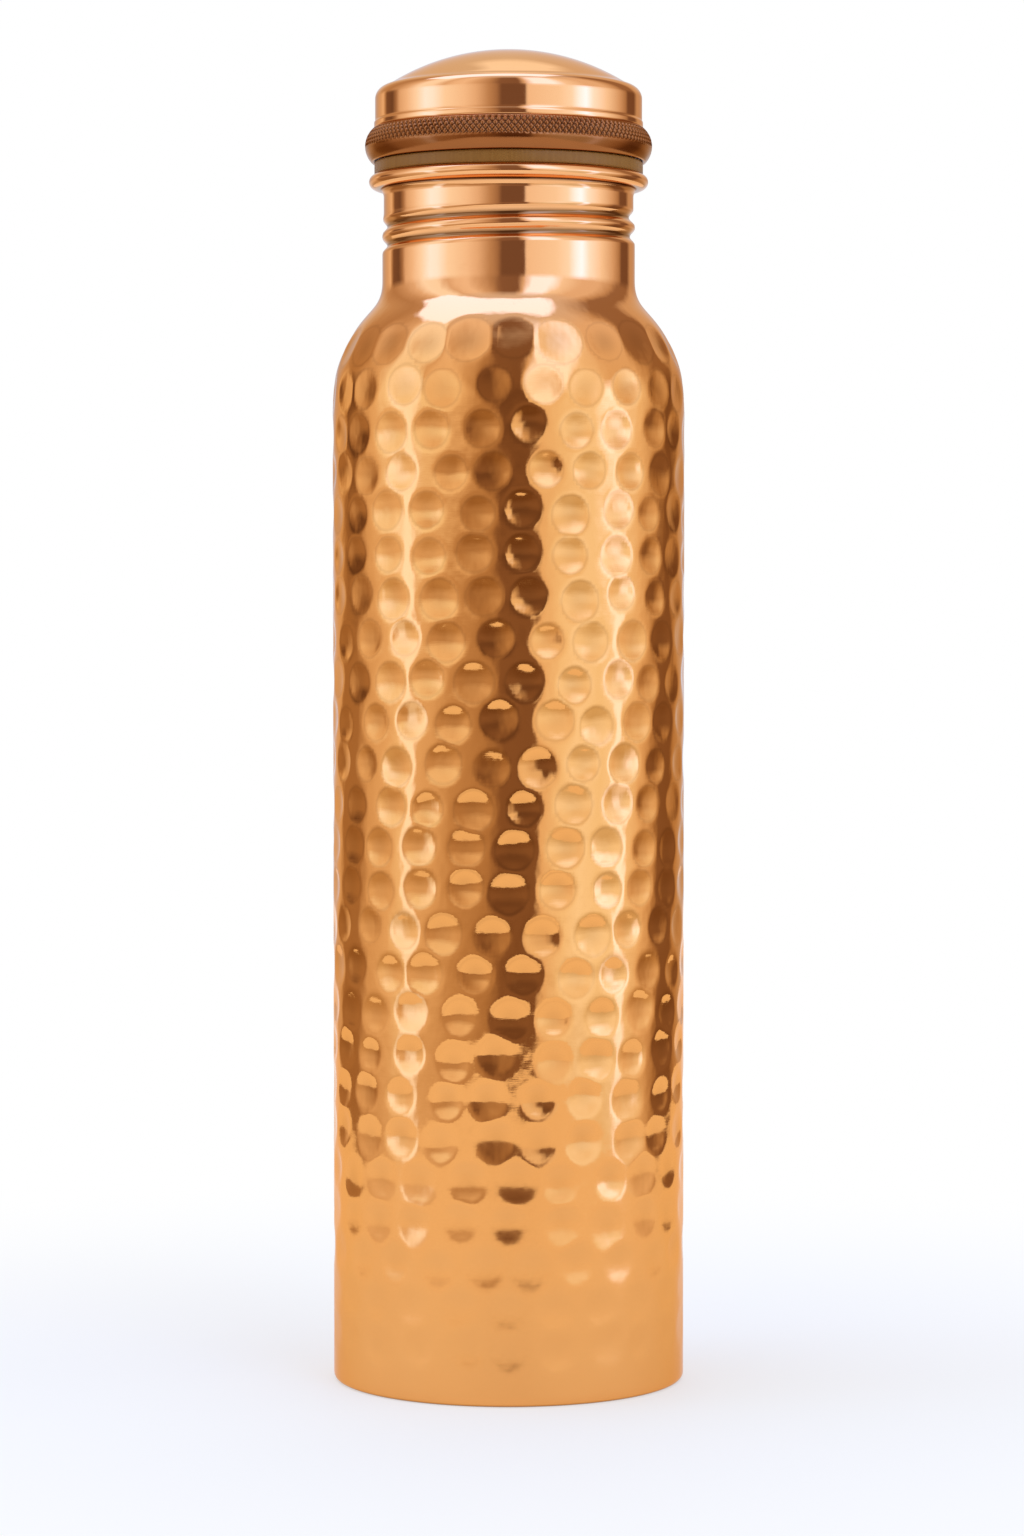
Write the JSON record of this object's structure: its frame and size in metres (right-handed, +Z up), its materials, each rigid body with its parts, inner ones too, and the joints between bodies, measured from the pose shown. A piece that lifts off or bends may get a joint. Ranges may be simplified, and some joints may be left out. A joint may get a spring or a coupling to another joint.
{
  "type": "copper water bottle",
  "caption": "Hammered copper water bottle with a rounded shoulder, a straight threaded neck and a domed screw cap with a knurled grip and a silicone gasket.",
  "frame": {"origin": "centre of the base, on the surface that the bottle stands on", "axes": "+Z up along the bottle's axis towards the cap; the thread's middle line crosses the +X side"},
  "size_m": [0.072, 0.072, 0.272],
  "materials": {
    "hammered_copper": "polished copper, hammered all over with round dimples that get fainter towards the base",
    "polished_copper": "bright polished copper with very fine brush lines",
    "knurled_copper": "diamond-knurled copper, darker and browner than the rest",
    "base_copper": "satin copper with faint spinning rings",
    "silicone": "matt khaki silicone"
  },
  "bodies": {
    "bottle": {"body_shell": "hammered_copper", "base_disc": "base_copper"},
    "gasket": {"cap_gasket": "silicone"},
    "cap": {"cap_plug": "polished_copper", "grip_ring": "knurled_copper", "cap_crown": "polished_copper"}
  },
  "joints": [
    {"name": "thread_lift", "type": "slide", "parent": "bottle", "child": "gasket", "axis": [0, 0, 1], "range_m": [0, 0.0152]},
    {"name": "cap_turn", "type": "hinge", "parent": "gasket", "child": "cap", "pos_m": [0, 0, 0.2465], "axis": [0, 0, 1], "range_deg": [0, 1440]}
  ],
  "couplings": [
    {"joint": "thread_lift", "follows": "cap_turn", "m_per_rad": 0.00060479}
  ]
}
